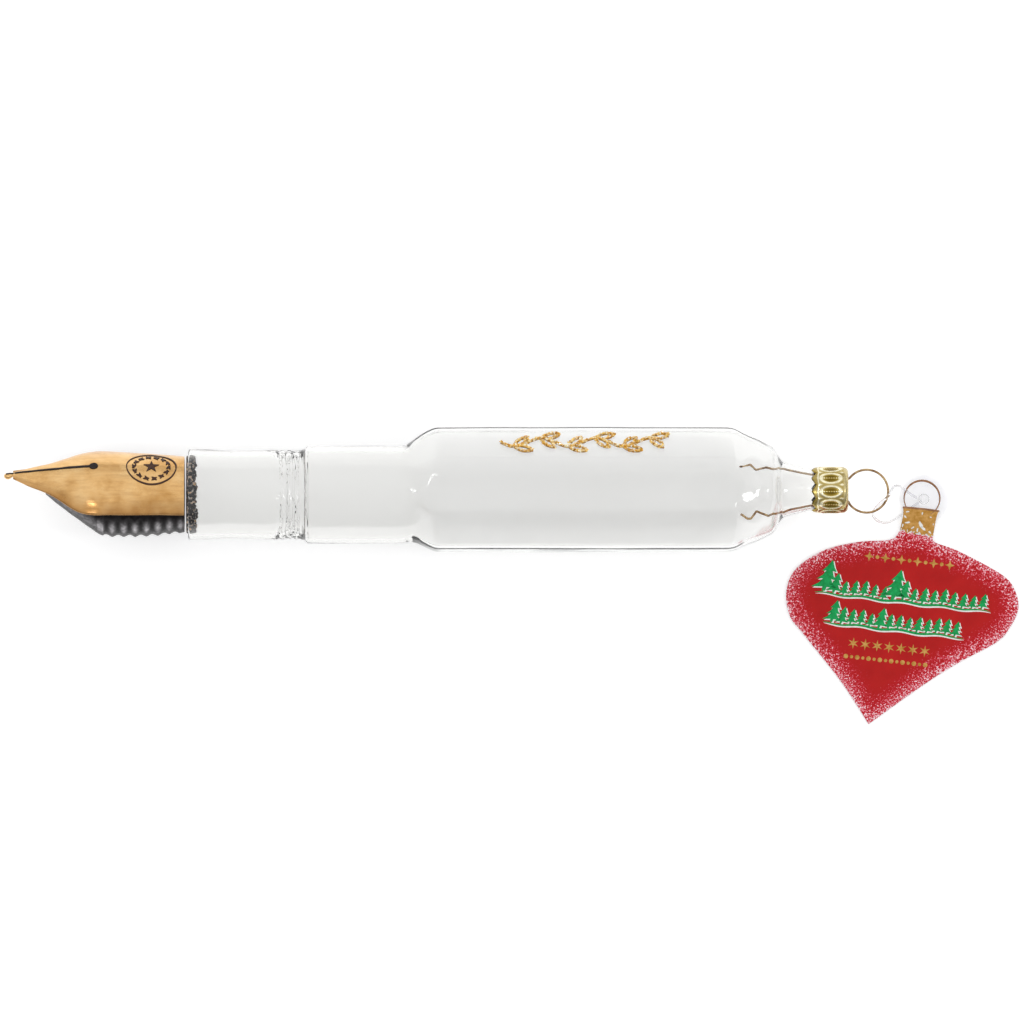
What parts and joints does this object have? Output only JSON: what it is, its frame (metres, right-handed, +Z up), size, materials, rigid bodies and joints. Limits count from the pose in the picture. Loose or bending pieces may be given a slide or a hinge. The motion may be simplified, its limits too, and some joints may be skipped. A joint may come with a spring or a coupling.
{
  "type": "glass pen ornament",
  "caption": "Blown clear-glass tree ornament shaped like a fountain pen, with gold nib, black feed, stamped cap, wire hanger, nylon loop and printed swing tag.",
  "frame": {"origin": "middle of the octagonal barrel's bottom facet, which rests on the table", "axes": "+X along the pen from the nib to the hanger, +Y away from the tag, +Z up"},
  "size_m": [0.1776, 0.051, 0.0214],
  "materials": {
    "clear_glass": "fire-polished thin blown glass",
    "gold_lacquer": "satin gold lacquer on blown glass",
    "black_lacquer": "gloss black lacquer on ribbed glass",
    "black_enamel": "painted enamel line",
    "brown_enamel": "painted enamel line",
    "dark_bond": "dark adhesive band",
    "gold_glitter": "metallised glitter in clear glue",
    "stamped_brass": "bright stamped sheet",
    "spring_wire": "brassed spring wire",
    "clear_nylon": "clear monofilament",
    "printed_film": "printed clear plastic film"
  },
  "bodies": {
    "glass": {"glass_body": "clear_glass", "nib": "gold_lacquer", "nib_point": "gold_lacquer", "slit_enamel": "black_enamel", "nib_emblem": "brown_enamel", "feed": "black_lacquer", "mouth_ring": "dark_bond", "glitter_flourish": "gold_glitter"},
    "cap": {"crown_cap": "stamped_brass", "hanger_ring": "spring_wire"},
    "leg_left": {"spring_leg_left": "spring_wire"},
    "leg_right": {"spring_leg_right": "spring_wire"},
    "loop": {"tag_loop": "clear_nylon", "loop_lock": "clear_nylon"},
    "tag": {"tag_film": "printed_film"}
  },
  "joints": [
    {"name": "cap_pull", "type": "slide", "parent": "glass", "child": "cap", "axis": [1, 0, 0], "range_m": [0, 0.0188]},
    {"name": "leg_left_squeeze", "type": "hinge", "parent": "cap", "child": "leg_left", "pos_m": [0.0456, 0.00193, 0.01068], "axis": [0, 0, 1], "range_deg": [0, 17.6]},
    {"name": "leg_right_squeeze", "type": "hinge", "parent": "cap", "child": "leg_right", "pos_m": [0.0456, -0.00193, 0.01068], "axis": [0, 0, -1], "range_deg": [0, 17.6]},
    {"name": "loop_swing", "type": "hinge", "parent": "cap", "child": "loop", "pos_m": [0.05334, -0.00124, 0.01068], "axis": [-0.635, -0.7725, 0], "range_deg": [0, 20]},
    {"name": "tag_swing", "type": "hinge", "parent": "loop", "child": "tag", "pos_m": [0.05988, -0.00083, 0.00088], "axis": [-0.9744, 0.225, 0], "range_deg": [0, 22]}
  ],
  "couplings": [
    {"joint": "leg_left_squeeze", "follows": "cap_pull", "rad_per_m": 16.23},
    {"joint": "leg_right_squeeze", "follows": "cap_pull", "rad_per_m": 16.23}
  ]
}
